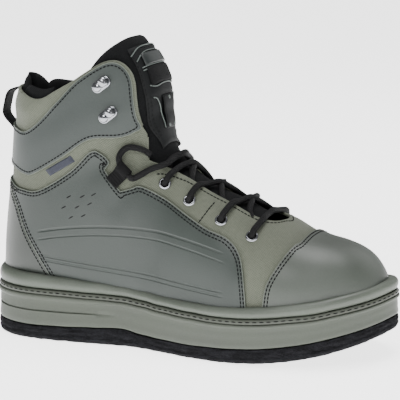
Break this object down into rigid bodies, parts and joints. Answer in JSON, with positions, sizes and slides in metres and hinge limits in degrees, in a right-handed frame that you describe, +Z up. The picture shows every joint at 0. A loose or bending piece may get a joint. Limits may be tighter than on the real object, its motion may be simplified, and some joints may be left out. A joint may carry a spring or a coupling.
{
  "type": "wading boot",
  "caption": "Ankle-high lace-up wading boot for the right foot with a felt outsole, thick midsole, rand, toe cap, hooks and padded tongue",
  "frame": {"origin": "on the ground under the middle of the heel", "axes": "+X to the toe, +Y to the inner side of the foot, +Z up"},
  "size_m": [0.3105, 0.1152, 0.2308],
  "materials": {
    "felt": "matt black felt",
    "foam": "matt grey moulded foam",
    "strip_rubber": "satin grey",
    "rand_rubber": "satin light grey green",
    "insole_fabric": "matt black",
    "woven_textile": "olive woven textile",
    "smooth_leather": "smooth grey green synthetic leather",
    "tongue_textile": "padded black textile",
    "lining": "brushed black lining",
    "tongue_leather": "black synthetic leather",
    "badge_rubber": "plain dark rubber",
    "webbing": "black webbing",
    "lace_cord": "round braided cord",
    "eyelet_metal": "bright",
    "hook_metal": "polished"
  },
  "bodies": {
    "root": {"ankle_panel": "smooth_leather", "collar_padding": "lining", "eyelet_inner_1": "eyelet_metal", "eyelet_inner_2": "eyelet_metal", "eyelet_inner_3": "eyelet_metal", "eyelet_inner_4": "eyelet_metal", "eyelet_outer_1": "eyelet_metal", "eyelet_outer_2": "eyelet_metal", "eyelet_outer_3": "eyelet_metal", "eyelet_outer_4": "eyelet_metal", "felt_outsole": "felt", "heel_counter": "smooth_leather", "insole": "insole_fabric", "lace_bar": "lace_cord", "lace_crossing_1": "lace_cord", "lace_crossing_2": "lace_cord", "lace_crossing_3": "lace_cord", "lace_crossing_4": "lace_cord", "lace_end_inner": "lace_cord", "lace_end_outer": "lace_cord", "lace_hook_inner_1": "hook_metal", "lace_hook_inner_2": "hook_metal", "lace_hook_outer_1": "hook_metal", "lace_hook_outer_2": "hook_metal", "lace_keeper": "tongue_leather", "lace_loop_inner": "webbing", "lace_loop_outer": "webbing", "midsole": "foam", "pull_loop": "webbing", "quarter_panel_inner": "smooth_leather", "quarter_panel_outer": "smooth_leather", "rand_roll": "rand_rubber", "toe_cap": "smooth_leather", "tongue": "tongue_textile", "tongue_badge": "badge_rubber", "tongue_band": "webbing", "tongue_facing": "tongue_leather", "upper": "woven_textile", "welt_strip": "strip_rubber"}
  },
  "joints": []
}
